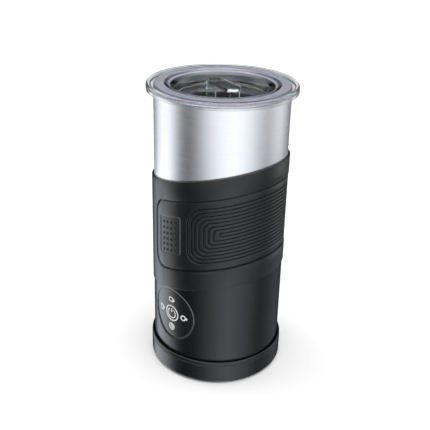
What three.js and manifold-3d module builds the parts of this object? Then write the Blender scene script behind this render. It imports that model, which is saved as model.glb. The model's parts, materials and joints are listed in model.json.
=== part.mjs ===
// Automatic milk frother: a cordless jug with a heated pot and a magnet-driven whisk, on a power base.
// Millimetres, +Z up. The origin is the middle of the base's underside, and the control panel faces -Y.
import * as THREE from 'three';
import { mergeVertices } from 'three/addons/utils/BufferGeometryUtils.js';
import Module from 'manifold-3d';

const wasm = await Module();
wasm.setup();

// ---- Driving dimensions ----

const GAP = 0.3; // clearance between neighbouring pieces
const ROUND = 36; // facets round the large turned pieces
const MID_ROUND = 20; // facets round pieces inside
const SMALL_ROUND = 10; // facets round small pins, screws and magnets

const BASE = {
  radius: 48.2, wall: 2.2, lipTop: 17.4, lipInner: 46.9, shoulder: 2, edge: 2,
  deckTop: 12.4, deck: 2, underside: 0.8, plate: 2.6,
};
const CONNECTOR = { post: 15.5, top: 19.4, grooveIn: 9.4, grooveOut: 12.4, bore: 2.6 };
const FOOT = { radius: 5, height: 1.7, ring: 34 };
const SCREW = { head: 2.6, headHeight: 1.1, sunk: 0.2, shank: 1.3, length: 6.5, boss: 3.2 };
const GLAND = { shaft: 3.4, flange: 4.4, bore: 2.5, height: 5.9 };

const JUG = { bottom: 12.8, radius: 46.1, recess: 45.3, inner: 43.2, shoulder: 84, spigotTop: 91 };
const SHELL = { radius: 45.3, wall: 0.6, top: 201.5 };
const SLEEVE = { radius: 46.8, thick: 1.2, low: 71.2, high: 150.6, rise: 10.1, riseAngle: 10.5 };

const PANEL = { height: 48.4, radius: 18.7, face: 45.5, thick: 1.4 };
const BUTTON = { radius: 5, ring: 6.3, icons: 11, icon: 3 };

const POT = { floor: 81, wall: 0.8, lowRadius: 38.5, mouthRadius: 40.5, corner: 8, rimTop: 202.6 };
const MOTOR = { radius: 14, low: 34, high: 62, shaft: 1.15, shaftHole: 46 };
const CARRIER = { radius: 15, low: 70, high: 75.5, magnetRing: 9, magnet: 4 };
const HEATER = { low: 77, high: 79.7, inner: 17, outer: 30, tube: 2.8, tubeRing: 26, gapAngle: 80 };

const WHISK = { disc: 13.6, low: 82.5, bore: 3.1, hub: 5.2, hubTop: 94, coilRing: 16.3, coil: 2.4, pin: 1.5 };
const BUSH = { inner: 1.8, outer: 2.8, low: 81.3, high: 91.8 };

const LID = { top: 205.8, radius: 50.1, lip: 201.1, lipInner: 47.4, plate: 2.2, edge: 2.4 };
const WELL = { floor: 197.3, radius: 30, wall: 2, neck: 31.8, neckHeight: 202.4, mouth: 36.4 };
const SKIRT = { inner: 36.6, outer: 38.4, low: 196.4 };
const HANDLE = {
  length: 33.6, width: 12, plate: 2.2, top: 205.2, tip: 4,
  leg: 1.6, legWidth: 6.8, legRing: 15, angle: -15.3,
};

// ---- Materials ----

const finish = (color, roughness, metalness) => new THREE.MeshStandardMaterial({ color, roughness, metalness });
const blackPlastic = finish(0x2b2c2f, 0.45, 0);
const blackRubber = finish(0x232526, 0.7, 0);
const brushedSteel = finish(0xc9cace, 0.32, 1);
const potSteel = finish(0x3a3b3c, 0.5, 0.3);
const clearPlastic = finish(0xdfe4e6, 0.08, 0);
clearPlastic.transparent = true;
clearPlastic.opacity = 0.35;
const silicone = finish(0xc4c8ca, 0.6, 0);
const glossPlastic = finish(0x17181a, 0.2, 0);
const whiteWindow = finish(0xe9ebee, 0.4, 0);
const brass = finish(0xc8a24a, 0.35, 1);
const zincSteel = finish(0x9fa3a8, 0.4, 1);
const aluminium = finish(0xb4b7ba, 0.5, 1);
const magnetNickel = finish(0xa8abb0, 0.3, 1);
const boardGreen = finish(0x1d5a36, 0.5, 0);
const naturalNylon = finish(0xd9d6cb, 0.6, 0);

// ---- Solids ----

// A closed geometry as a manifold solid.
function solidOf(geometry) {
  const plain = geometry.index ? geometry.toNonIndexed() : geometry;
  const bare = new THREE.BufferGeometry().setAttribute('position', plain.getAttribute('position'));
  const merged = mergeVertices(bare, 1e-4);
  return new wasm.Manifold(new wasm.Mesh({
    numProp: 3,
    vertProperties: merged.attributes.position.array,
    triVerts: new Uint32Array(merged.index.array),
  }));
}

function geometryOf(solid) {
  const mesh = solid.getMesh();
  const stride = mesh.numProp;
  const positions = new Float32Array(mesh.numVert * 3);
  for (let i = 0; i < mesh.numVert; i++) {
    positions.set(mesh.vertProperties.subarray(i * stride, i * stride + 3), i * 3);
  }
  return new THREE.BufferGeometry()
    .setAttribute('position', new THREE.BufferAttribute(positions, 3))
    .setIndex(new THREE.BufferAttribute(mesh.triVerts, 1));
}

// Turns a profile of [radius, height] pairs about +Z. It starts and ends on the axis, or is closed here.
// The profile runs anticlockwise, with the radius to the right and the height up.
function turned(profile, facets = ROUND) {
  const points = profile.map(([r, z]) => new THREE.Vector2(r, z));
  const openAtAxis = profile[0][0] === 0 && profile.at(-1)[0] === 0;
  if (!openAtAxis) points.push(points[0].clone());
  return solidOf(new THREE.LatheGeometry(points, facets).rotateX(Math.PI / 2));
}

// A ring of rectangular section between two radii and two heights.
const ring = (inner, outer, low, high, facets = ROUND) =>
  turned([[inner, low], [outer, low], [outer, high], [inner, high]], facets);

// A disc or rod on the axis between two heights.
const rod = (radius, low, high, facets = ROUND) =>
  turned([[0, low], [radius, low], [radius, high], [0, high]], facets);

const moved = (solid, x, y, z = 0) => solid.translate([x, y, z]);

// A rod that points along Y, from yLow to yHigh, at the given x and z.
const rodAlongY = (radius, x, z, yLow, yHigh, facets = 24) =>
  solidOf(new THREE.CylinderGeometry(radius, radius, yHigh - yLow, facets)
    .translate(x, (yLow + yHigh) / 2, z));

const block = (width, depth, height, x, y, z) =>
  solidOf(new THREE.BoxGeometry(width, depth, height).translate(x, y, z));

// A point at a radius and an angle in degrees from +X.
function polar(radius, degrees) {
  const turn = THREE.MathUtils.degToRad(degrees);
  return [radius * Math.cos(turn), radius * Math.sin(turn)];
}

// Quarter-round points of a profile corner, about a centre, between two angles in degrees.
function arc(centreR, centreZ, radius, from, to, steps) {
  const points = [];
  for (let i = 0; i <= steps; i++) {
    const [r, z] = polar(radius, from + ((to - from) * i) / steps);
    points.push([centreR + r, centreZ + z]);
  }
  return points;
}

// Everything above the slanting plane that is at this height on the axis and rises towards the jug's right.
function aboveSlant(height) {
  const size = 240;
  const slope = Math.atan(SLEEVE.rise / SLEEVE.radius);
  return solidOf(new THREE.BoxGeometry(size, size, size)
    .translate(0, 0, size / 2)
    .rotateY(-slope)
    .rotateZ(THREE.MathUtils.degToRad(SLEEVE.riseAngle))
    .translate(0, 0, height));
}

// ---- Assembly helpers ----

const frother = new THREE.Group();

function subAssembly(height = 0, parent = frother) {
  const group = new THREE.Group();
  group.position.z = height;
  parent.add(group);
  return group;
}

function piece(parent, name, solid, material) {
  const mesh = new THREE.Mesh(geometryOf(solid), material);
  mesh.name = name;
  parent.add(mesh);
  return mesh;
}

// The height of a screw head's inner face above the surface that the head is sunk into.
const screwSeat = SCREW.sunk + SCREW.headHeight;

// A pan-head screw that points up, with the inner face of its head at height 0.
function screw(parent, name, x, y, z) {
  const { head, headHeight, shank, length } = SCREW;
  const body = turned([
    [0, -headHeight], [head, -headHeight], [head, 0], [shank, 0], [shank, length], [0, length],
  ], SMALL_ROUND);
  const slot = block(3, 0.7, 0.6, 0, 0, -headHeight + 0.2);
  const mesh = piece(parent, name, body.subtract(slot), zincSteel);
  mesh.position.set(x, y, z);
}

// ---- Power base ----

const base = subAssembly();
const screwRing = 37;
const baseScrewAngles = [30, 150, 270];
const footAngles = [45, 135, 225, 315];

function baseShell() {
  const { radius, wall, lipTop, lipInner, shoulder, edge, deckTop, deck, underside } = BASE;
  const inner = radius - wall;
  let shell = turned([
    [inner, underside],
    ...arc(radius - edge, underside + edge, edge, -90, 0, 2),
    ...arc(radius - shoulder, lipTop - shoulder, shoulder, 0, 60, 3),
    [lipInner + 0.1, lipTop],
    [lipInner, lipTop - 0.3],
    [lipInner, deckTop],
    [CONNECTOR.post + GAP, deckTop],
    [CONNECTOR.post + GAP, deckTop - deck],
    [inner, deckTop - deck],
  ]);
  for (const angle of baseScrewAngles) {
    const [x, y] = polar(screwRing, angle);
    shell = shell.add(moved(rod(SCREW.boss, underside + BASE.plate + GAP, deckTop - 1, SMALL_ROUND), x, y));
    shell = shell.subtract(moved(rod(SCREW.shank + GAP, 0, deckTop - 1.5, SMALL_ROUND), x, y));
  }
  return shell.subtract(rodAlongY(GLAND.shaft + GAP, 0, GLAND.height, radius - 8, radius + 4, 24));
}

// The base's closing plate, with recesses for feet and screws and a notch for the cord gland.
function basePlate() {
  const { underside, plate, radius, wall } = BASE;
  let disc = rod(radius - wall - GAP, underside, underside + plate);
  for (const angle of footAngles) {
    const [x, y] = polar(FOOT.ring, angle);
    disc = disc.subtract(moved(rod(FOOT.radius + GAP, 0, FOOT.height + GAP, SMALL_ROUND), x, y));
  }
  for (const angle of baseScrewAngles) {
    const [x, y] = polar(screwRing, angle);
    disc = disc.subtract(moved(rod(SCREW.head + GAP, 0, underside + screwSeat + GAP, SMALL_ROUND), x, y));
    disc = disc.subtract(moved(rod(SCREW.shank + GAP, 0, 5, SMALL_ROUND), x, y));
  }
  return disc.subtract(block(11, 10, 8, 0, 46, 3));
}

// The tower that the jug's socket fits over, with a ring groove and a middle bore for the contacts.
function connectorPost() {
  const { post, top, grooveIn, grooveOut, bore } = CONNECTOR;
  const flangeTop = BASE.deckTop - BASE.deck - GAP;
  return turned([
    [bore, 5], [post + 3.5, 5], [post + 3.5, flangeTop], [post, flangeTop],
    [post, top - 1], [post - 1, top], [grooveOut, top], [grooveOut, 9], [grooveIn, 9], [grooveIn, top],
    [bore, top],
  ], MID_ROUND);
}

// The rubber bush that the supply cord leaves through.
function cordGland() {
  const wallFace = BASE.radius + GAP;
  const body = rodAlongY(GLAND.shaft, 0, GLAND.height, 43, wallFace + 0.2, 24)
    .add(rodAlongY(GLAND.flange, 0, GLAND.height, wallFace, wallFace + 1.2, 24));
  return body.subtract(rodAlongY(GLAND.bore, 0, GLAND.height, 40, 55, 24));
}

piece(base, 'base_shell', baseShell(), blackPlastic);
piece(base, 'base_bottom_plate', basePlate(), blackPlastic);
piece(base, 'connector_post', connectorPost(), glossPlastic);
const contactTop = CONNECTOR.top - 1;
piece(base, 'base_contact_ring',
  ring(CONNECTOR.grooveOut - 1, CONNECTOR.grooveOut - GAP, 9.3, contactTop, MID_ROUND), brass);
piece(base, 'base_contact_sleeve', ring(1.9, CONNECTOR.bore - 0.2, 5.6, contactTop - 0.4, SMALL_ROUND), brass);
piece(base, 'cord_gland', cordGland(), blackRubber);
footAngles.forEach((angle, i) => {
  const foot = turned([[0, 0], [FOOT.radius - 0.5, 0], [FOOT.radius, 0.5], [FOOT.radius, FOOT.height],
    [0, FOOT.height]], SMALL_ROUND);
  const [x, y] = polar(FOOT.ring, angle);
  piece(base, `rubber_foot_${i + 1}`, foot, blackRubber).position.set(x, y, 0);
});
baseScrewAngles.forEach((angle, i) => {
  const [x, y] = polar(screwRing, angle);
  screw(base, `base_screw_${i + 1}`, x, y, BASE.underside + screwSeat);
});

// ---- Jug body ----

const jug = subAssembly();
const capTop = JUG.bottom + 2.8;
const capScrewAngles = [90, 210, 330];
const capScrewRing = 38.6;

function lowerHousing() {
  const { bottom, radius, recess, inner, shoulder, spigotTop } = JUG;
  const spigot = SHELL.radius - SHELL.wall - GAP;
  const bevel = 1;
  const skirt = turned([
    [inner, bottom], [radius - bevel, bottom], [radius, bottom + bevel], [radius, 95], [inner, 95],
  ]).subtract(aboveSlant(SLEEVE.low - 0.2));
  const tube = turned([
    [inner, bottom + bevel], [recess, bottom + bevel], [recess, shoulder],
    [spigot, shoulder], [spigot, spigotTop], [inner, spigotTop],
  ]);
  let housing = skirt.add(tube).add(ring(inner - 3, inner + 0.5, 59.3, 62));
  for (const angle of capScrewAngles) {
    const [x, y] = polar(capScrewRing + 1.4, angle);
    const boss = moved(rod(4, capTop + GAP, 30, SMALL_ROUND), x, y);
    const [hx, hy] = polar(capScrewRing, angle);
    housing = housing.add(boss).subtract(moved(rod(SCREW.shank + GAP, capTop, 28, SMALL_ROUND), hx, hy));
  }
  const pocketDepth = PANEL.face - PANEL.thick - GAP;
  const pocket = rodAlongY(PANEL.radius + GAP, 0, PANEL.height, -60, -30, 36)
    .subtract(rod(pocketDepth, 20, 80));
  housing = housing.subtract(pocket);
  housing = housing.subtract(rodAlongY(BUTTON.radius + 2 * GAP, 0, PANEL.height, -60, -30));
  for (const [x, z] of iconPlaces()) {
    housing = housing.subtract(rodAlongY(BUTTON.icon - 1, x, PANEL.height + z, -60, -30, SMALL_ROUND));
  }
  return housing;
}

// The four indicator windows stand round the button: above, right, below and left of it.
function iconPlaces() {
  return [90, 0, 270, 180].map((angle) => polar(BUTTON.icons, angle));
}

function bottomCap() {
  const edge = JUG.inner - GAP;
  const lip = turned([
    [19.6, JUG.bottom], [edge, JUG.bottom], [edge, capTop], [19.6, capTop],
  ]);
  let cap = lip;
  for (const angle of capScrewAngles) {
    const [x, y] = polar(capScrewRing, angle);
    cap = cap.subtract(moved(rod(SCREW.head + GAP, 10, JUG.bottom + screwSeat + GAP, SMALL_ROUND), x, y));
    cap = cap.subtract(moved(rod(SCREW.shank + GAP, 10, 20, SMALL_ROUND), x, y));
  }
  return cap;
}

// The inverted cup in the jug's underside that drops over the base's connector tower.
function connectorSocket() {
  const cavity = CONNECTOR.post + 0.8;
  const ceiling = CONNECTOR.top + 1.4;
  return turned([
    [0, ceiling], [cavity, ceiling], [cavity, JUG.bottom + 0.4], [cavity + 0.5, JUG.bottom],
    [19.2, JUG.bottom], [19.2, capTop + GAP], [23, capTop + GAP], [23, capTop + 2.3], [19.2, capTop + 2.3],
    [19.2, ceiling + 3], [0, ceiling + 3],
  ], MID_ROUND);
}

function gripSleeve() {
  return ring(SLEEVE.radius - SLEEVE.thick, SLEEVE.radius, 50, 175)
    .subtract(aboveSlant(SLEEVE.high))
    .intersect(aboveSlant(SLEEVE.low));
}

function steelShell() {
  const { radius, wall, top } = SHELL;
  return ring(radius - wall, radius, JUG.shoulder + GAP, top);
}

// The milk pot: a deep-drawn cup whose rim is folded out over the top of the steel shell.
function pot() {
  const { floor, wall, lowRadius, mouthRadius, corner, rimTop } = POT;
  const low = floor - 1;
  return turned([
    [WHISK.pin - 0.4, low],
    ...arc(lowRadius + wall - corner - 1, low + corner + 1, corner + 1, -90, 0, 4),
    [mouthRadius + wall, rimTop - 2],
    [SHELL.radius, rimTop - 0.8],
    [SHELL.radius, rimTop],
    [mouthRadius + 0.6, rimTop],
    [mouthRadius, rimTop - 0.6],
    ...arc(lowRadius - corner, floor + corner, corner, 0, -90, 4),
    [WHISK.pin - 0.4, floor],
  ]);
}

piece(jug, 'lower_housing', lowerHousing(), blackPlastic);
piece(jug, 'bottom_cap', bottomCap(), blackPlastic);
capScrewAngles.forEach((angle, i) => {
  const [x, y] = polar(capScrewRing, angle);
  screw(jug, `cap_screw_${i + 1}`, x, y, JUG.bottom + screwSeat);
});
piece(jug, 'grip_sleeve', gripSleeve(), blackRubber);
piece(jug, 'steel_shell', steelShell(), brushedSteel);
piece(jug, 'milk_pot', pot(), potSteel);
piece(jug, 'pivot_pin', turned([
  [0, POT.floor - 1], [WHISK.pin - 0.7, POT.floor - 1], [WHISK.pin - 0.7, POT.floor + GAP],
  [WHISK.pin, POT.floor + GAP], [WHISK.pin, POT.floor + 9.5], [WHISK.pin - 0.6, POT.floor + 10.2],
  [0, POT.floor + 10.4]], SMALL_ROUND), zincSteel);

// ---- Connector in the jug's underside ----

const socket = subAssembly();
const socketCeiling = CONNECTOR.top + 1.4;
piece(socket, 'connector_socket', connectorSocket(), glossPlastic);
piece(socket, 'socket_pin', rod(1.3, 10.5, socketCeiling - GAP, SMALL_ROUND), brass);
piece(socket, 'socket_contact', ring(10, 10.8, 11, socketCeiling - GAP, MID_ROUND), brass);

// ---- Control panel ----

// A piece of the curved front, cut from a rod along Y so that its faces follow the jug's side.
const curvedDisc = (radius, x, z, inner, outer, facets) =>
  rodAlongY(radius, x, z, -60, -20, facets).intersect(ring(inner, outer, 20, 80));

function panelDisc() {
  const { radius, height, face, thick } = PANEL;
  let disc = curvedDisc(radius, 0, height, face - thick, face, 36);
  disc = disc.subtract(rodAlongY(BUTTON.ring + GAP, 0, height, -60, -30));
  for (const [x, z] of iconPlaces()) {
    disc = disc.subtract(rodAlongY(BUTTON.icon + GAP / 2, x, height + z, -60, -30, 16));
  }
  return disc;
}

function powerButton() {
  const { height, face, thick } = PANEL;
  const cap = curvedDisc(BUTTON.radius, 0, height, face - thick - 1, face + 0.1, 20);
  return cap.add(rodAlongY(2, 0, height, -face + thick + 0.6, -40.1, SMALL_ROUND));
}

function buttonRing() {
  const { height, face, thick } = PANEL;
  return curvedDisc(BUTTON.ring, 0, height, face - thick, face, 24)
    .subtract(rodAlongY(BUTTON.radius + GAP, 0, height, -60, -20));
}

const board = { face: -38, thick: 1.6, width: 30, low: 31.5, high: 59 };
piece(jug, 'panel_disc', panelDisc(), glossPlastic);
piece(jug, 'button_ring', buttonRing(), whiteWindow);
['top', 'right', 'bottom', 'left'].forEach((side, i) => {
  const [x, z] = iconPlaces()[i];
  const window = curvedDisc(BUTTON.icon, x, PANEL.height + z, PANEL.face - PANEL.thick, PANEL.face, 16);
  piece(jug, `icon_window_${side}`, window, whiteWindow);
});
piece(jug, 'control_board', block(board.width, board.thick, board.high - board.low, 0,
  board.face + board.thick / 2, (board.low + board.high) / 2), boardGreen);
piece(jug, 'button_switch', block(5, 0.7, 5, 0, board.face - GAP - 0.35, PANEL.height), zincSteel);
piece(jug, 'power_button', powerButton(), glossPlastic);

// ---- Motor and heater ----

const magnetAngles = [0, 180];

function motorCan() {
  const { radius, low, high, shaft, shaftHole } = MOTOR;
  return turned([
    [0, low], [radius - 1, low], [radius, low + 1], [radius, high - 1], [radius - 1, high],
    [shaft + 0.4, high], [shaft + 0.4, shaftHole], [0, shaftHole],
  ], MID_ROUND);
}

// The plate that the motor hangs from, with four openings for wires and air.
function motorBracket() {
  const low = MOTOR.high + GAP;
  let plate = ring(5, JUG.inner - 0.4, low, low + 2, MID_ROUND);
  for (const angle of [0, 90, 180, 270]) {
    const [x, y] = polar(29, angle);
    plate = plate.subtract(moved(rod(6, low - 1, low + 3, SMALL_ROUND), x, y));
  }
  return plate;
}

// The ring that carries the pot by its rounded lower corner.
function potSeat() {
  const low = MOTOR.high + GAP + 2 + GAP;
  const outer = JUG.inner - 0.4;
  return turned([
    [outer - 3.4, low], [outer, low], [outer, 94], [outer - 1.6, 94], [outer - 1.6, 84],
    [outer - 3.4, 78],
  ], MID_ROUND);
}

// The disc on the motor's shaft that holds the two drive magnets.
function magnetCarrier() {
  let disc = turned([
    [MOTOR.shaft + 0.1, CARRIER.low - 3], [4, CARRIER.low - 3], [4, CARRIER.low],
    [CARRIER.radius, CARRIER.low], [CARRIER.radius, CARRIER.high], [MOTOR.shaft + 0.1, CARRIER.high],
  ], MID_ROUND);
  for (const angle of magnetAngles) {
    const [x, y] = polar(CARRIER.magnetRing, angle);
    disc = disc.subtract(moved(rod(CARRIER.magnet + 0.2, CARRIER.low + 1, 80, SMALL_ROUND), x, y));
  }
  return disc;
}

// The sheathed heating tube: most of a circle under the heater plate, ending in a gap at the back.
function heatingTube() {
  const half = HEATER.gapAngle / 2;
  const steps = 24;
  const points = [];
  for (let i = 0; i <= steps; i++) {
    const [x, y] = polar(HEATER.tubeRing, 90 + half + ((360 - HEATER.gapAngle) * i) / steps);
    points.push(new THREE.Vector3(x, y, HEATER.low - GAP - HEATER.tube));
  }
  const section = new THREE.Shape().absarc(0, 0, HEATER.tube, 0, 2 * Math.PI);
  const path = new THREE.CatmullRomCurve3(points);
  return solidOf(new THREE.ExtrudeGeometry(section, { steps, extrudePath: path, curveSegments: 4 }));
}

const drive = subAssembly();
piece(jug, 'motor_can', motorCan(), zincSteel);
piece(jug, 'motor_bracket', motorBracket(), naturalNylon);
piece(jug, 'pot_seat', potSeat(), naturalNylon);
piece(jug, 'heater_plate', ring(HEATER.inner, HEATER.outer, HEATER.low, HEATER.high, MID_ROUND), aluminium);
piece(jug, 'heating_tube', heatingTube(), zincSteel);
const [cutOutX, cutOutY] = polar(HEATER.tubeRing, 74);
const [probeX, probeY] = polar(HEATER.tubeRing, 106);
piece(jug, 'thermal_cut_out', moved(rod(5.5, 69, HEATER.low - GAP, 24), cutOutX, cutOutY), zincSteel);
piece(jug, 'temperature_probe', moved(rod(3, 68, HEATER.low - GAP, SMALL_ROUND), probeX, probeY), brass);
piece(drive, 'motor_shaft', rod(MOTOR.shaft, MOTOR.shaftHole + 0.5, CARRIER.high - 0.5, SMALL_ROUND), zincSteel);
piece(drive, 'magnet_carrier', magnetCarrier(), naturalNylon);
magnetAngles.forEach((angle, i) => {
  const [x, y] = polar(CARRIER.magnetRing, angle);
  const magnet = rod(CARRIER.magnet, CARRIER.low + 1 + GAP, CARRIER.high - 0.2, SMALL_ROUND);
  piece(drive, `drive_magnet_${i + 1}`, moved(magnet, x, y), magnetNickel);
});

// ---- Whisk ----

const whisk = subAssembly();

// The whisk's moulding: a disc and a hollow hub that turns on the bush, with pockets for two magnets.
function whiskHub() {
  const { disc, low, bore, hub, hubTop } = WHISK;
  let body = turned([
    [bore, low], [disc - 0.6, low], [disc, low + 0.6], [disc, low + 2.6], [disc - 1, low + 3.4],
    [hub + 1.5, low + 3.4], [hub, low + 5], [hub - 0.6, hubTop], [0, hubTop], [0, hubTop - 1.6],
    [bore, hubTop - 1.6],
  ], MID_ROUND);
  for (const angle of magnetAngles) {
    const [x, y] = polar(CARRIER.magnetRing, angle);
    body = body.subtract(moved(rod(3.2, low - 1, low + 2.4, SMALL_ROUND), x, y));
  }
  return body;
}

piece(whisk, 'whisk_bush', ring(BUSH.inner, BUSH.outer, BUSH.low, BUSH.high, SMALL_ROUND), naturalNylon);
piece(whisk, 'whisk_hub', whiskHub(), blackPlastic);
magnetAngles.forEach((angle, i) => {
  const [x, y] = polar(CARRIER.magnetRing, angle);
  const magnet = rod(2.9, WHISK.low + 0.2, WHISK.low + 2.1, SMALL_ROUND);
  piece(whisk, `whisk_magnet_${i + 1}`, moved(magnet, x, y), magnetNickel);
});
piece(whisk, 'whisk_coil', solidOf(new THREE.TorusGeometry(WHISK.coilRing, WHISK.coil, 8, MID_ROUND)
  .translate(0, 0, WHISK.low + WHISK.coil - 0.6)), brushedSteel);

// ---- Lid ----

const lid = subAssembly();

// The clear lid: a flat flange with a turned-down lip, a sunk well for the handle, and a skirt for the seal.
function lidShell() {
  const { top, radius, lip, lipInner, plate, edge } = LID;
  const { floor, radius: wellRadius, wall, neck, neckHeight, mouth } = WELL;
  const under = top - plate;
  return turned([
    [0, floor - wall], [wellRadius + wall - 1, floor - wall], [wellRadius + wall, floor - wall + 1],
    [neck + wall, neckHeight], [neck + wall + 0.8, under],
    [SKIRT.inner, under], [SKIRT.inner, SKIRT.low], [SKIRT.outer, SKIRT.low], [SKIRT.outer, under],
    [lipInner, under], [lipInner, lip],
    [radius - 1, lip], [radius, lip + 0.9],
    ...arc(radius - edge, top - edge, edge, 0, 90, 3),
    [mouth, top], [neck + 1.6, top - 0.9], [neck, neckHeight], [wellRadius, floor], [0, floor],
  ]);
}

function lidSeal() {
  const inner = SKIRT.outer + 0.2;
  const outer = POT.mouthRadius - GAP;
  const low = SKIRT.low + 0.2;
  return turned([
    [inner, low], [outer - 0.9, low], [outer, low + 1], [outer - 0.8, low + 1.8],
    [outer - 0.8, low + 2.6], [outer, low + 3.6], [outer - 0.9, low + 4.6], [inner, low + 4.6],
  ]);
}

// The bridge handle: a long plate with pointed round ends on two short legs that stand on the well's floor.
function lidHandle() {
  const { length, width, plate, top, tip, leg, legWidth, legRing } = HANDLE;
  const straight = length / 2 - tip;
  const bow = width / 2;
  const outline = new THREE.Shape();
  outline.moveTo(-straight, -bow);
  outline.lineTo(straight, -bow);
  outline.absellipse(straight, 0, tip, bow, -Math.PI / 2, Math.PI / 2);
  outline.lineTo(-straight, bow);
  outline.absellipse(-straight, 0, tip, bow, Math.PI / 2, 1.5 * Math.PI);
  const options = { depth: plate, bevelEnabled: false, curveSegments: 8 };
  const slab = solidOf(new THREE.ExtrudeGeometry(outline, options).translate(0, 0, top - plate));
  const legHeight = top - plate / 2 - (WELL.floor + GAP);
  const legMiddle = WELL.floor + GAP + legHeight / 2;
  return slab
    .add(block(leg, legWidth, legHeight, legRing, 0, legMiddle))
    .add(block(leg, legWidth, legHeight, -legRing, 0, legMiddle));
}

piece(lid, 'lid_shell', lidShell(), clearPlastic);
piece(lid, 'lid_seal', lidSeal(), silicone);
const handleTurn = subAssembly(0, lid);
handleTurn.rotation.z = THREE.MathUtils.degToRad(HANDLE.angle);
piece(handleTurn, 'lid_handle', lidHandle(), clearPlastic);

export default frother;
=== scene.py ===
import json
import math

import bmesh
import bpy
from mathutils import Matrix, Vector

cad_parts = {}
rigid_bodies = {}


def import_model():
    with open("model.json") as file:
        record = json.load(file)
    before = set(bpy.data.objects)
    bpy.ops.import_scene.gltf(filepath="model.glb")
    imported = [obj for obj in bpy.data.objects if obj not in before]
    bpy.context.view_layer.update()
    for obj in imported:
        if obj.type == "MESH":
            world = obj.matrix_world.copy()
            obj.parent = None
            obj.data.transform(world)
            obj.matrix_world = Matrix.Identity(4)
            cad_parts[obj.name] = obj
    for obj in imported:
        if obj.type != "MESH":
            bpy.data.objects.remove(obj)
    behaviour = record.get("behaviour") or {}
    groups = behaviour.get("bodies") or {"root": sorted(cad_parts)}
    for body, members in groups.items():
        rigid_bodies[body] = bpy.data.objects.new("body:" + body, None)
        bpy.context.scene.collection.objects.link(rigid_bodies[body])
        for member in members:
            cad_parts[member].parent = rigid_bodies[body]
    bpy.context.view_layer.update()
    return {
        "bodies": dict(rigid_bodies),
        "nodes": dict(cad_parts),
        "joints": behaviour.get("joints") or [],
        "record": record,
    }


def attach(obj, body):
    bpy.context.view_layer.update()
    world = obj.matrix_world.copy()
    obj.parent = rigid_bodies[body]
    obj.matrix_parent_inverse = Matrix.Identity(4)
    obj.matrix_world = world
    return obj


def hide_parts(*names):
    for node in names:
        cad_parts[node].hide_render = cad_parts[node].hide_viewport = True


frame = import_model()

# An automatic milk frother in a white photo studio. Shapes are modelled in millimetres and kept in metres.
mm = 0.001


def linearColour(hexCode, alpha=1.0):
    channels = [int(hexCode[i:i + 2], 16) / 255 for i in (1, 3, 5)]
    return [c / 12.92 if c <= 0.04045 else ((c + 0.055) / 1.055) ** 2.4 for c in channels] + [alpha]


# Camera: a long lens from the right of the control panel, looking down on the lid.
cameraSettings = {
    "azimuth": 43.5, "distance": 459.2, "height": 327.5,  # mm
    "pitch": 25.365, "pan": 0.362, "roll": 1.466,  # degrees
    "lens": 60.21,
}


def addCamera(settings):
    cameraData = bpy.data.cameras.new("studioCamera")
    cameraData.lens = settings["lens"]
    cameraData.sensor_width = 36
    cameraData.clip_start = 0.05
    camera = bpy.data.objects.new("studioCamera", cameraData)
    bpy.context.scene.collection.objects.link(camera)
    turn = math.radians(settings["azimuth"])
    place = Vector((settings["distance"] * math.sin(turn), -settings["distance"] * math.cos(turn),
                    settings["height"])) * mm
    camera.matrix_world = (
        Matrix.Translation(place)
        @ Matrix.Rotation(turn + math.radians(settings["pan"]), 4, "Z")
        @ Matrix.Rotation(math.radians(90 - settings["pitch"]), 4, "X")
        @ Matrix.Rotation(math.radians(settings["roll"]), 4, "Z"))
    bpy.context.scene.camera = camera


addCamera(cameraSettings)
print("camera placed")


# One node, its settings and its links: a socket that is given another node's output is linked to it.
def addNode(tree, kind, inputs=None, **settings):
    node = tree.nodes.new(kind)
    for name, value in settings.items():
        setattr(node, name, value)
    for socket, value in (inputs or {}).items():
        if isinstance(value, bpy.types.NodeSocket):
            tree.links.new(value, node.inputs[socket])
        else:
            node.inputs[socket].default_value = value
    return node


def startMaterial(name, sockets):
    material = bpy.data.materials.new(name)
    material.use_nodes = True
    tree = material.node_tree
    shader = tree.nodes["Principled BSDF"]
    for socket, value in sockets.items():
        shader.inputs[socket].default_value = value
    place = addNode(tree, "ShaderNodeTexCoord").outputs["Object"]
    return material, tree, shader, place


# Fine relief: a texture's height, in millimetres, tilts the shading of the surface.
def addRelief(tree, shader, texture, depth):
    bump = addNode(tree, "ShaderNodeBump", {
        "Height": texture.outputs["Fac"], "Distance": depth * mm, "Strength": 1.0})
    tree.links.new(bump.outputs["Normal"], shader.inputs["Normal"])


# Gloss that wanders with a texture, by a spread on each side of the finish's roughness.
def addGloss(tree, shader, texture, look):
    gloss = addNode(tree, "ShaderNodeMapRange", {
        "Value": texture.outputs["Fac"], "From Min": 0.3, "From Max": 0.7,
        "To Min": look["roughness"] - look["spread"], "To Max": look["roughness"] + look["spread"]})
    tree.links.new(gloss.outputs["Result"], shader.inputs["Roughness"])


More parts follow.
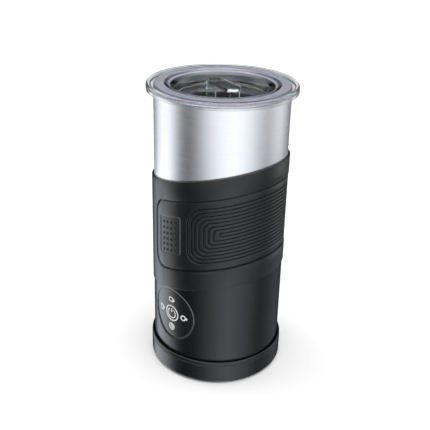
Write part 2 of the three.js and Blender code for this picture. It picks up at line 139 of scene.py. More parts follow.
# A moulded or cast finish: a fine grain in the surface, and slow changes of tone and gloss across it.
def mouldedFinish(name, look):
    colour = linearColour(look["colour"])
    material, tree, shader, place = startMaterial(name, {
        "Base Color": colour, "Metallic": look.get("metallic", 0.0), "Roughness": look["roughness"],
        "IOR": look.get("ior", 1.5), **look.get("sockets", {})})
    grain = addNode(tree, "ShaderNodeTexNoise",
                    {"Vector": place, "Scale": 1000 / look["grain"], "Detail": 3.0, "Roughness": 0.6})
    drift = addNode(tree, "ShaderNodeTexNoise",
                    {"Vector": place, "Scale": 1000 / look["drift"], "Detail": 2.0})
    addGloss(tree, shader, drift, look)
    light = [min(1, c * look.get("tone", 1.25)) for c in colour[:3]] + [1]
    # the Mix node has one pair of sockets for each kind of data, so the colour pair is set by its place
    tone = addNode(tree, "ShaderNodeMix", {0: grain.outputs["Fac"], 6: colour, 7: light}, data_type="RGBA")
    tree.links.new(tone.outputs[2], shader.inputs["Base Color"])
    addRelief(tree, shader, grain, look["depth"])
    return material


# Satin ABS from a spark-eroded mould: near black, with a soft wide sheen.
# The real grain is about 0.1 mm, and is drawn at 0.5 mm so that it shows.
satinAbs = mouldedFinish("satinAbs", {
    "colour": "#0f1012", "roughness": 0.26, "spread": 0.03, "grain": 0.5, "depth": 0.012, "drift": 60})
# Silicone rubber with carbon black, moulded over the grip: duller than the ABS, with a faint bloom on it.
gripSilicone = mouldedFinish("gripSilicone", {
    "colour": "#101213", "roughness": 0.3, "spread": 0.03, "grain": 0.6, "depth": 0.012, "drift": 45,
    "ior": 1.46, "sockets": {"Sheen Weight": 0.04, "Sheen Roughness": 0.5}})
# Nitrile feet and the cord's bush: dull and soft.
footRubber = mouldedFinish("footRubber", {
    "colour": "#202123", "roughness": 0.75, "spread": 0.05, "grain": 0.4, "depth": 0.03, "drift": 12,
    "ior": 1.52})
# Polished polycarbonate of the control panel and the connector.
polishedPolycarbonate = mouldedFinish("polishedPolycarbonate", {
    "colour": "#141517", "roughness": 0.24, "spread": 0.02, "grain": 1.5, "depth": 0.003, "drift": 30,
    "ior": 1.58})
# White ink and the diffusing rings of the lit marks.
whiteInk = mouldedFinish("whiteInk", {
    "colour": "#dcdee2", "roughness": 0.5, "spread": 0.03, "grain": 0.4, "depth": 0.004, "drift": 6,
    "tone": 1.05})
# Fluoropolymer non-stick coating, sprayed and baked: dark grey, finely speckled, slightly glossy.
nonStick = mouldedFinish("nonStick", {
    "colour": "#151617", "roughness": 0.34, "spread": 0.04, "grain": 0.8, "depth": 0.01, "drift": 25,
    "tone": 1.9, "ior": 1.38})
# Milky silicone of the lid's seal, with a faint lilac tint: light passes a little way in.
milkySilicone = mouldedFinish("milkySilicone", {
    "colour": "#d6d4e2", "roughness": 0.4, "spread": 0.04, "grain": 0.6, "depth": 0.006, "drift": 20,
    "tone": 1.1, "ior": 1.41, "sockets": {"Subsurface Weight": 0.25, "Subsurface Scale": 0.002}})
# Natural nylon brackets inside: cream, slightly waxy.
naturalNylon = mouldedFinish("naturalNylon", {
    "colour": "#d8d4c6", "roughness": 0.5, "spread": 0.05, "grain": 0.7, "depth": 0.01, "drift": 15,
    "ior": 1.53})
# Green solder mask over woven glass fibre.
solderMask = mouldedFinish("solderMask", {
    "colour": "#1c5a37", "roughness": 0.3, "spread": 0.05, "grain": 0.9, "depth": 0.01, "drift": 8})
# Zinc-plated steel of screws and the motor: bluish, patchy gloss.
zincPlate = mouldedFinish("zincPlate", {
    "colour": "#a9adb3", "metallic": 1.0, "roughness": 0.34, "spread": 0.08, "grain": 0.5, "depth": 0.004,
    "drift": 5, "tone": 1.15})
# Die-cast aluminium of the heater: pale, sandy skin.
castAluminium = mouldedFinish("castAluminium", {
    "colour": "#b9bcbf", "metallic": 1.0, "roughness": 0.5, "spread": 0.08, "grain": 0.6, "depth": 0.03,
    "drift": 12, "tone": 1.15})
# Turned brass contacts, a little tarnished.
contactBrass = mouldedFinish("contactBrass", {
    "colour": "#c6a050", "metallic": 1.0, "roughness": 0.28, "spread": 0.08, "grain": 0.3, "depth": 0.003,
    "drift": 4, "tone": 1.2})
# Nickel-plated magnets: bright and smooth.
platedNickel = mouldedFinish("platedNickel", {
    "colour": "#b7b3ab", "metallic": 1.0, "roughness": 0.2, "spread": 0.05, "grain": 0.6, "depth": 0.002,
    "drift": 5, "tone": 1.1})


# Stainless steel, brushed round the jug: fine lines along its girth spread each reflection up and down.
# The lines are drawn 0.25 mm apart, coarser than the real 0.1 mm, so that they show.
brushLook = {"colour": "#eceef4", "roughness": 0.3, "spread": 0.05, "lines": 0.25, "lineLength": 22,
             "depth": 0.003, "anisotropy": 0.75}


def brushedFinish(name, look):
    material, tree, shader, place = startMaterial(name, {
        "Base Color": linearColour(look["colour"]), "Metallic": 1.0, "Roughness": look["roughness"],
        "Anisotropic": look["anisotropy"]})
    stretched = addNode(tree, "ShaderNodeMapping", {
        "Vector": place, "Scale": (1000 / look["lineLength"],) * 2 + (1000 / look["lines"],)})
    lines = addNode(tree, "ShaderNodeTexNoise",
                    {"Vector": stretched.outputs["Vector"], "Scale": 1.0, "Detail": 4.0, "Roughness": 0.7})
    addGloss(tree, shader, lines, look)
    addRelief(tree, shader, lines, look["depth"])
    tangent = addNode(tree, "ShaderNodeTangent", direction_type="RADIAL", axis="Z")
    tree.links.new(tangent.outputs["Tangent"], shader.inputs["Tangent"])
    return material


brushedSteel = brushedFinish("brushedSteel", brushLook)


# Clear styrene-acrylonitrile, polished in the mould: a faint cool tint, and barely visible flow lines.
clearLook = {"colour": "#eef2f4", "roughness": 0.02, "ior": 1.52, "ripple": 18, "depth": 0.02}


def clearFinish(name, look):
    material, tree, shader, place = startMaterial(name, {
        "Base Color": linearColour(look["colour"]), "Roughness": look["roughness"], "IOR": look["ior"],
        "Transmission Weight": 1.0})
    flow = addNode(tree, "ShaderNodeTexNoise",
                   {"Vector": place, "Scale": 1000 / look["ripple"], "Detail": 1.0})
    addRelief(tree, shader, flow, look["depth"])
    return material


clearPlastic = clearFinish("clearPlastic", clearLook)
# Drawn stainless wire of the frothing spring: bright, with fine drawing marks.
springSteel = mouldedFinish("springSteel", {
    "colour": "#c9c9cb", "metallic": 1.0, "roughness": 0.22, "spread": 0.06, "grain": 0.3, "depth": 0.002,
    "drift": 3, "tone": 1.15})
print("materials made")


# Turns a finished shape into an object that rides on a body and stands for CAD nodes.
def finishPiece(bm, name, body, material, replaced, sharpAngle=30, flatFaces=False):
    bmesh.ops.scale(bm, vec=(mm, mm, mm), verts=bm.verts)
    mesh = bpy.data.meshes.new(name)
    bm.to_mesh(mesh)
    bm.free()
    mesh.materials.append(material)
    mesh.shade_smooth()
    mesh.set_sharp_from_angle(angle=math.radians(sharpAngle))
    piece = bpy.data.objects.new(name, mesh)
    bpy.context.scene.collection.objects.link(piece)
    if flatFaces:  # large flat faces keep their own direction beside rounded edges
        piece.modifiers.new("flatFaces", "WEIGHTED_NORMAL").keep_sharp = True
    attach(piece, body)
    if replaced:
        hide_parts(*replaced)
    return piece


# The points or the edges among what a bmesh operator gives back.
def pointsIn(items):
    return [item for item in items if isinstance(item, bmesh.types.BMVert)]


def edgesIn(items):
    return [item for item in items if isinstance(item, bmesh.types.BMEdge)]


# Cuts everything along a plane.
def cutAlong(bm, point, normal, **options):
    return bmesh.ops.bisect_plane(bm, geom=bm.verts[:] + bm.edges[:] + bm.faces[:], dist=0.0005,
                                  plane_co=point, plane_no=normal, **options)["geom_cut"]


# A turned solid from (radius, height, corner rounding) points, which run anticlockwise.
# It starts and ends on the axis, or closes on itself.
def turnedShape(outline, steps=144):
    bm = bmesh.new()
    points = [bm.verts.new((radius, 0, height)) for radius, height, _ in outline]
    onAxis = outline[0][0] == 0 and outline[-1][0] == 0
    for first, second in zip(points, points[1:] + ([] if onAxis else points[:1])):
        bm.edges.new((first, second))
    for point, (_, _, rounding) in zip(points, outline):
        if rounding:
            bmesh.ops.bevel(bm, geom=[point], offset=rounding, offset_type="OFFSET",
                            segments=4 if rounding < 1.5 else 8, profile=0.5, affect="VERTICES", material=-1)
    bmesh.ops.spin(bm, geom=bm.verts[:] + bm.edges[:], cent=(0, 0, 0), axis=(0, 0, 1), angle=math.tau,
                   steps=steps, use_merge=True)
    bmesh.ops.remove_doubles(bm, verts=bm.verts, dist=0.001)
    bmesh.ops.recalc_face_normals(bm, faces=bm.faces)
    return bm


# A closed loop on the flat sheet: a circle whose quarters are pushed apart into a rounded rectangle.
def roundedLoop(bm, centre, half, corner, depth, steps=40):
    circle = bmesh.ops.create_circle(bm, cap_ends=False, radius=corner, segments=steps,
                                     matrix=Matrix.Rotation(math.pi / steps, 4, "Z"))["verts"]
    for vert in circle:
        vert.co.x += centre[0] + math.copysign(half[0] - corner, vert.co.x)
        vert.co.y += centre[1] + math.copysign(half[1] - corner, vert.co.y)
        vert.co.z = depth
    return list({edge for vert in circle for edge in vert.link_edges})


# Walls that step in or out from a rounded rectangle: each step is (offset outwards, depth).
def steppedLoops(bm, centre, half, corner, steps, loopPoints=40):
    (out, depth), *rest = steps
    first = last = roundedLoop(bm, centre, (half[0] + out, half[1] + out), corner + out, depth, loopPoints)
    for out, depth in rest:
        extruded = bmesh.ops.extrude_edge_only(bm, edges=last)["geom"]
        last = edgesIn(extruded)
        for vert in pointsIn(extruded):
            pivot = Vector([centre[i] + math.copysign(half[i] - corner, vert.co[i] - centre[i])
                            for i in (0, 1)])
            vert.co.xy = pivot + (vert.co.xy - pivot).normalized() * (corner + out)
            vert.co.z = depth
    return first, last


def fillBetween(bm, loops):
    edges = [edge for loop in loops for edge in loop]
    bmesh.ops.triangle_fill(bm, edges=edges, use_beauty=True, use_dissolve=False, normal=(0, 0, 1))


# The edges of a flat rectangular sheet.
def sheetFrame(bm, width, low, high):
    corners = [bm.verts.new((x, y, 0)) for x, y in
               ((-width / 2, low), (width / 2, low), (width / 2, high), (-width / 2, high))]
    return [bm.edges.new((first, second)) for first, second in zip(corners, corners[1:] + corners[:1])]


# Cuts a flat shape into upright strips, so that it can follow the jug's curve.
def cutStrips(bm, strip):
    left, right = min(vert.co.x for vert in bm.verts), max(vert.co.x for vert in bm.verts)
    count = max(2, round((right - left) / strip))
    for i in range(1, count):
        cutAlong(bm, (left + i * (right - left) / count, 0, 0), (1, 0, 0))


# Folds the edges at one height of the flat sheet over, step by step: each step is (rise, depth).
def foldEdge(bm, height, steps):
    edges = [edge for edge in bm.edges if all(abs(vert.co.y - height) < 0.001 for vert in edge.verts)]
    for rise, depth in steps:
        extruded = bmesh.ops.extrude_edge_only(bm, edges=edges)["geom"]
        edges = edgesIn(extruded)
        bmesh.ops.translate(bm, vec=(0, rise, depth), verts=pointsIn(extruded))
    return edges


# Bends a flat sheet round the jug: x becomes the turn, y the height and z the distance outwards.
def wrapRound(bm, radius, middle, slant=None):
    for vert in bm.verts:
        turn = math.radians(middle) + vert.co.x / radius
        reach = radius + vert.co.z
        lift = slant["rise"] * math.cos(turn - math.radians(slant["highest"])) if slant else 0
        vert.co = (reach * math.sin(turn), -reach * math.cos(turn), vert.co.y + lift)
    bmesh.ops.remove_doubles(bm, verts=bm.verts, dist=0.002)


# Grip sleeve: it slants round the jug, and an outline groove frames the ribs and the two thumb pads.
gripLook = {
    "radius": 46.8, "thick": 1.45, "low": 71.2, "high": 150.6, "rimRounding": 0.5,  # heights without slant
    "rise": 10.08, "highest": 100.5,  # the slant: half its rise, and the turn where it is highest
    "middle": 96.0, "centre": 111.6, "strip": 1.6,  # the ribs' turn and height
    "frameHalf": (95.2, 25.15), "frameCorner": 10.5, "frameWidth": 1.0, "frameDepth": 1.2, "fieldDepth": 0.35,
    "ribPitch": 2.608, "ribCount": 8, "ribDepth": 0.95,
    "ribEnds": (42.3, 46.1, 49.4, 52.6, 55.7, 58.6, 61.3, 64.1),  # half lengths, from the inner rib outwards
    "ribCorners": (1.2, 1.9, 2.8, 3.8, 5.0, 6.4, 8.0, 9.8),
    "padOffset": 79.8, "padHalf": (10.4, 14.4), "padCorner": 2.2, "padDepth": 0.3,
    "dimplePitch": (3.88, 4.13), "dimpleGrid": (4, 6), "dimpleDrop": 1.0,
    "dimpleRadius": 1.2, "dimpleDepth": 0.75,
}


def gripSleeveShape(look):
    bm = bmesh.new()
    radius, middle = look["radius"], look["centre"]
    width = math.tau * radius
    low, high = look["low"] + look["rimRounding"], look["high"] - look["rimRounding"]
    outer = sheetFrame(bm, width, low, high)
    wide, deep, field = look["frameWidth"], look["frameDepth"], -look["fieldDepth"]
    groove = [(wide, 0), (wide * 0.75, -0.1 * deep), (wide * 0.6, -0.8 * deep), (0.4 * wide, -deep),
              (-0.3 * wide, -deep), (-wide * 0.5, field - 0.5 * deep), (-wide * 0.75, field - 0.06 * deep),
              (-wide, field)]
    outside, inside = steppedLoops(bm, (0, middle), look["frameHalf"], look["frameCorner"], groove)
    fillBetween(bm, [outer, outside])

    # ribs: nested grooves with rounded lips
    deep = look["ribDepth"]
    rib = [(0.8, 0), (0.62, -0.08), (0.42, -0.62), (0.18, -1),
           (-0.18, -1), (-0.42, -0.62), (-0.62, -0.08), (-0.8, 0)]
    rib = [(out, field + part * deep) for out, part in rib]
    lastLoop = None
    for i in reversed(range(look["ribCount"])):
        half = (look["ribEnds"][i], (i + 0.5) * look["ribPitch"])
        first, last = steppedLoops(bm, (0, middle), half, look["ribCorners"][i], rib)
        if lastLoop:
            fillBetween(bm, [lastLoop, first])
        else:
            ribBorder = first
        lastLoop = last
    bmesh.ops.holes_fill(bm, edges=lastLoop)

    fillBetween(bm, [inside, ribBorder] + [thumbPad(bm, look, side) for side in (-1, 1)])
    cutStrips(bm, look["strip"])
    # the rims are folded over, and the last step brings them to the inner face
    inner = []
    for height, way in ((low, -1), (high, 1)):
        fold = [(way * 0.3, -0.06), (way * 0.16, -0.2), (way * 0.04, -0.3)]
        folded = sum(depth for _, depth in fold)
        inner += foldEdge(bm, height, fold + [(0, -look["thick"] - folded)])
    wrapRound(bm, radius, look["middle"], look)
    bmesh.ops.bridge_loops(bm, edges=[item for item in inner if item.is_valid])
    bmesh.ops.recalc_face_normals(bm, faces=bm.faces)
    return bm


# A sunk rounded field with rows of dimples. It gives back its border, for the sheet round it to join.
def thumbPad(bm, look, side):
    field, deep = look["fieldDepth"], look["padDepth"]
    centre = (side * look["padOffset"], look["centre"])
    sunk = [(0, 0), (-0.25, -0.12), (-0.75, -0.85), (-1.0, -1), (-1.3, -1)]
    sunk = [(out, -field + part * deep) for out, part in sunk]
    border, floor = steppedLoops(bm, centre, look["padHalf"], look["padCorner"], sunk)
    columns, rows = look["dimpleGrid"]
    holes = [floor]
    for column in range(columns):
        for row in range(rows):
            place = (centre[0] + (column - (columns - 1) / 2) * look["dimplePitch"][0],
                     centre[1] - look["dimpleDrop"] + (row - (rows - 1) / 2) * look["dimplePitch"][1])
            holes.append(dimple(bm, look, place, field + deep))
    fillBetween(bm, holes)
    return border


def dimple(bm, look, place, fieldDepth):
    size, deep = look["dimpleRadius"], look["dimpleDepth"]
    steps = [(0, -fieldDepth), (-0.08, -fieldDepth - 0.2 * deep), (-0.3, -fieldDepth - 0.75 * deep),
             (-0.7, -fieldDepth - deep)]
    lip, bottom = steppedLoops(bm, place, (size, size), size, steps, 16)
    bmesh.ops.holes_fill(bm, edges=bottom)
    return lip


finishPiece(gripSleeveShape(gripLook), "gripSleeve", "jug", gripSilicone, ["grip_sleeve"], 50)
print("grip sleeve made")


# Lower housing: a straight wall with the panel's round seat, cut off slanting where the sleeve begins.
housingLook = {
    "radius": 46.1, "bottom": 12.8, "edge": 1.0, "inner": 43.3, "top": 84.0, "strip": 1.6,
    "panelHeight": 48.4, "seatRadius": 18.75, "seatDepth": 1.6, "buttonHole": 5.3,
    "tube": 45.3, "sleeveGap": 0.2,
}


def housingShape(look):
    bm = bmesh.new()
    radius = look["radius"]
    width = math.tau * radius
    low = look["bottom"] + look["edge"]
    outer = sheetFrame(bm, width, low, look["top"])
    seat = look["seatRadius"]
    bevel = [(1.45, 0), (1.3, -0.03), (0.1, -0.62), (0.0, -0.68), (0.0, -look["seatDepth"])]
    rim, floor = steppedLoops(bm, (0, look["panelHeight"]), (seat, seat), seat, bevel, 96)
    fillBetween(bm, [outer, rim])
    hole = roundedLoop(bm, (0, look["panelHeight"]), (look["buttonHole"],) * 2, look["buttonHole"],
                       -look["seatDepth"], 64)
    fillBetween(bm, [floor, hole])
    cutStrips(bm, look["strip"])
    # the lower edge is rounded, and turns in to the inner wall
    fold = [(-0.55, -0.12), (-0.3, -0.38), (-0.15, -0.95)]
    folded = sum(depth for _, depth in fold)
    foldEdge(bm, low, fold + [(0, look["inner"] - radius - folded)])
    wrapRound(bm, radius, 0)
    slope = math.atan(gripLook["rise"] / gripLook["radius"])
    highest = math.radians(gripLook["highest"] - 90)
    normal = Vector((-math.sin(slope) * math.cos(highest), -math.sin(slope) * math.sin(highest),
                     math.cos(slope)))
    # the slanted upper edge steps in to the steel tube, under the sleeve
    cut = cutAlong(bm, (0, 0, gripLook["low"] - look["sleeveGap"]), normal, clear_outer=True)
    extruded = bmesh.ops.extrude_edge_only(bm, edges=edgesIn(cut))["geom"]
    shrink = look["tube"] / radius
    bmesh.ops.scale(bm, vec=(shrink, shrink, 1), verts=pointsIn(extruded))
    return bm


finishPiece(housingShape(housingLook), "lowerHousing", "jug", satinAbs, ["lower_housing"], 40)
print("lower housing made")

# Control panel: a round disc sunk into the housing, whose face follows the jug's curve.
panelLook = {
    "height": 48.4, "face": 45.45, "strip": 1.2, "radius": 18.7, "thick": 0.9,
    "ringHole": 6.3, "ringHalves": (6.2, 5.35), "button": 5.0, "buttonDepth": 2.4,
    "markRing": 11.0, "inkLift": 0.005, "inkThick": 0.06, "ringProud": 0.02,
}


# Bends a shape that was drawn flat about the panel's middle round the jug.
def placeOnPanel(bm, look, shift=(0, 0)):
    cutStrips(bm, look["strip"])
    bmesh.ops.recalc_face_normals(bm, faces=bm.faces)
    bmesh.ops.translate(bm, vec=(shift[0], look["height"] + shift[1], 0), verts=bm.verts)
    wrapRound(bm, look["face"], 0)
    return bm


def circleSteps(bm, radius, steps, loopPoints):
    return steppedLoops(bm, (0, 0), (radius, radius), radius, steps, loopPoints)


def panelDiscShape(look):
    bm = bmesh.new()
    edge = [(-0.8, 0), (-0.3, -0.03), (-0.08, -0.1), (0, -0.25), (0, -look["thick"])]
    outerTop, outerLow = circleSteps(bm, look["radius"], edge, 96)
    innerTop, innerLow = circleSteps(bm, look["ringHole"], [(0.15, 0), (0, -0.12), (0, -look["thick"])], 64)
    fillBetween(bm, [outerTop, innerTop])
    fillBetween(bm, [outerLow, innerLow])
    return placeOnPanel(bm, look)


def powerButtonShape(look):
    bm = bmesh.new()
    edge = [(-0.45, 0.1), (-0.12, 0.04), (0, -0.12), (0, -look["buttonDepth"])]
    top, low = circleSteps(bm, look["button"], edge, 64)
    fillBetween(bm, [top])
    fillBetween(bm, [low])
    return placeOnPanel(bm, look)


# Gives flat faces a thickness, from one depth to another.
def thicken(bm, low, high):
    bmesh.ops.translate(bm, vec=(0, 0, high), verts=bm.verts)
    copied = bmesh.ops.extrude_face_region(bm, geom=bm.faces[:], use_keep_orig=True)["geom"]
    bmesh.ops.translate(bm, vec=(0, 0, low - high), verts=pointsIn(copied))


# A flat rounded frame, by the half sizes and corner of its outside and the width of its line.
def flatFrame(bm, centre, half, corner, line):
    outside = roundedLoop(bm, centre, half, corner, 0)
    inside = roundedLoop(bm, centre, (half[0] - line, half[1] - line), max(0.3, corner - line), 0)
    fillBetween(bm, [outside, inside])


def flatArc(bm, centre, inner, outer, start, sweep):
    turn = math.radians(start)
    ends = [bm.verts.new((centre[0] + radius * math.cos(turn), centre[1] + radius * math.sin(turn), 0))
            for radius in (inner, outer)]
    side = bm.edges.new(ends)
    bmesh.ops.spin(bm, geom=ends + [side], cent=(*centre, 0), axis=(0, 0, 1), angle=math.radians(sweep),
                   steps=max(8, round(sweep / 8)), use_merge=False)


def flatBar(bm, centre, size, turn=0):
    place = (Matrix.Translation((*centre, 0)) @ Matrix.Rotation(math.radians(turn), 4, "Z")
             @ Matrix.Diagonal((size[0], size[1], 1, 1)))
    bmesh.ops.create_grid(bm, x_segments=1, y_segments=1, size=0.5, matrix=place)


# White marks: a power symbol on the button, and round it a small cup, a latte cup, a mug and a cold mark.
# Frames are (centre, half sizes, corner, line), arcs are (centre, inner, outer, start, sweep), and bars are
# (centre, size, turn).
panelMarks = {
    "powerSymbol": {
        "body": "power_button", "angle": None, "replaced": [], "proud": 0.1,
        "arcs": [((0, 0), 3.25, 3.95, 116, 308)], "bars": [((0, 2.5), (0.85, 3.0), 0)]},
    "cupMark": {
        "body": "jug", "angle": 90, "replaced": ["icon_window_top"],
        "frames": [((-0.5, 0), (2.15, 1.95), 1.1, 0.75)], "arcs": [((1.65, 0.1), 0.45, 1.1, -90, 180)]},
    "mugMark": {
        "body": "jug", "angle": 0, "replaced": ["icon_window_right"],
        "frames": [((-0.5, 0), (2.2, 2.2), 2.15, 0.85)], "arcs": [((1.65, 0), 0.4, 1.2, -75, 150)]},
    "coldMark": {
        "body": "jug", "angle": 270, "replaced": ["icon_window_bottom"],
        "frames": [((0, 0), (2.75, 2.75), 2.75, 0.6)],
        "bars": [((1.35 * math.cos(k * math.pi / 3), 1.35 * math.sin(k * math.pi / 3)), (1.5, 0.7), 60 * k)
                 for k in range(6)]},
    "latteMark": {
        "body": "jug", "angle": 180, "replaced": ["icon_window_left"],
        "frames": [((-0.5, 0), (2.1, 2.2), 0.9, 0.75)], "arcs": [((1.6, 0.3), 0.45, 1.1, -90, 180)],
        "bars": [((-0.5, 0.8), (2.2, 0.6), 0)]},
}


def markShape(mark, look):
    bm = bmesh.new()
    for frame in mark.get("frames", []):
        flatFrame(bm, *frame)
    for arc in mark.get("arcs", []):
        flatArc(bm, *arc)
    for bar in mark.get("bars", []):
        flatBar(bm, *bar)
    proud = mark.get("proud", 0)
    thicken(bm, proud + look["inkLift"], proud + look["inkThick"])
    turn = math.radians(mark["angle"] or 0)
    reach = 0 if mark["angle"] is None else look["markRing"]
    return placeOnPanel(bm, look, (reach * math.cos(turn), reach * math.sin(turn)))


def buttonRingShape(look):
    bm = bmesh.new()
    loops = [roundedLoop(bm, (0, 0), (radius, radius), radius, 0, 64) for radius in look["ringHalves"]]
    fillBetween(bm, loops)
    thicken(bm, -look["thick"], look["ringProud"])
    return placeOnPanel(bm, look)


finishPiece(panelDiscShape(panelLook), "panelDisc", "jug", polishedPolycarbonate, ["panel_disc"], 35)
finishPiece(powerButtonShape(panelLook), "powerButton", "power_button", polishedPolycarbonate,
            ["power_button"], 35)
finishPiece(buttonRingShape(panelLook), "buttonRing", "jug", whiteInk, ["button_ring"])
for name, mark in panelMarks.items():
    finishPiece(markShape(mark, panelLook), name, mark["body"], whiteInk, mark["replaced"])
print("control panel made")

# Lid handle: a flat grip bar with round ends, on two thin upright legs.
handleLook = {
    "half": (16.8, 6.0), "corner": 5.9, "low": 203.0, "high": 205.2, "legFoot": 197.6,
    "legEdges": (14.2, 15.8), "legHalf": 3.4, "turn": -15.3, "rounding": 0.4,
}


def lidHandleShape(look):
    bm = bmesh.new()
    bmesh.ops.holes_fill(bm, edges=roundedLoop(bm, (0, 0), look["half"], look["corner"], look["low"]))
    cuts = [((side * edge, 0, 0), (1, 0, 0)) for side in (-1, 1) for edge in look["legEdges"]]
    cuts += [((0, side * look["legHalf"], 0), (0, 1, 0)) for side in (-1, 1)]
    for point, normal in cuts:
        cutAlong(bm, point, normal)
    plate = bm.faces[:]
    near, far = look["legEdges"]
    legs = [face for face in plate if near < abs(face.calc_center_median().x) < far
            and abs(face.calc_center_median().y) < look["legHalf"]]
    raised = bmesh.ops.extrude_face_region(bm, geom=plate, use_keep_orig=True)["geom"]
    bmesh.ops.translate(bm, vec=(0, 0, look["high"] - look["low"]), verts=pointsIn(raised))
    lowered = bmesh.ops.extrude_face_region(bm, geom=legs)["geom"]
    bmesh.ops.translate(bm, vec=(0, 0, look["legFoot"] - look["low"]), verts=pointsIn(lowered))
    bmesh.ops.delete(bm, geom=[face for face in legs if face.is_valid], context="FACES_ONLY")
    bmesh.ops.recalc_face_normals(bm, faces=bm.faces)
    corners = [edge for edge in bm.edges if edge.is_manifold and edge.calc_face_angle() > math.radians(50)]
    bmesh.ops.bevel(bm, geom=corners, offset=look["rounding"], offset_type="OFFSET", segments=3, profile=0.5,
                    affect="EDGES", clamp_overlap=True, material=-1)
    bmesh.ops.rotate(bm, cent=(0, 0, 0), matrix=Matrix.Rotation(math.radians(look["turn"]), 3, "Z"),
                     verts=bm.verts)
    return bm


finishPiece(lidHandleShape(handleLook), "lidHandle", "lid", clearPlastic, ["lid_handle"], 25, flatFaces=True)
print("lid handle made")

# Frothing spring: a wire wound into a ring, which clips round the hub's disc.
springLook = {"ring": 16.3, "height": 84.3, "coil": 2.05, "wire": 0.35, "turns": 64, "points": 12}


def frothingSpringShape(look):
    wire = bpy.data.curves.new("frothingSpringWire", "CURVE")
    wire.dimensions = "3D"
    wire.bevel_depth, wire.bevel_resolution = look["wire"], 1
    path = wire.splines.new("POLY")
    total = look["turns"] * look["points"]
    path.points.add(total - 1)
    for i, point in enumerate(path.points):
        along, winding = math.tau * i / total, math.tau * i / look["points"]
        reach = look["ring"] + look["coil"] * math.cos(winding)
        point.co = (reach * math.cos(along), reach * math.sin(along),
                    look["height"] + look["coil"] * math.sin(winding), 1)
    path.use_cyclic_u = True
    helper = bpy.data.objects.new("frothingSpringWire", wire)
    mesh = bpy.data.meshes.new_from_object(helper)
    bm = bmesh.new()
    bm.from_mesh(mesh)
    bpy.data.objects.remove(helper)
    bpy.data.curves.remove(wire)
    bpy.data.meshes.remove(mesh)
    return bm


finishPiece(frothingSpringShape(springLook), "frothingSpring", "whisk_coil", springSteel, ["whisk_coil"], 60)
print("frothing spring made")

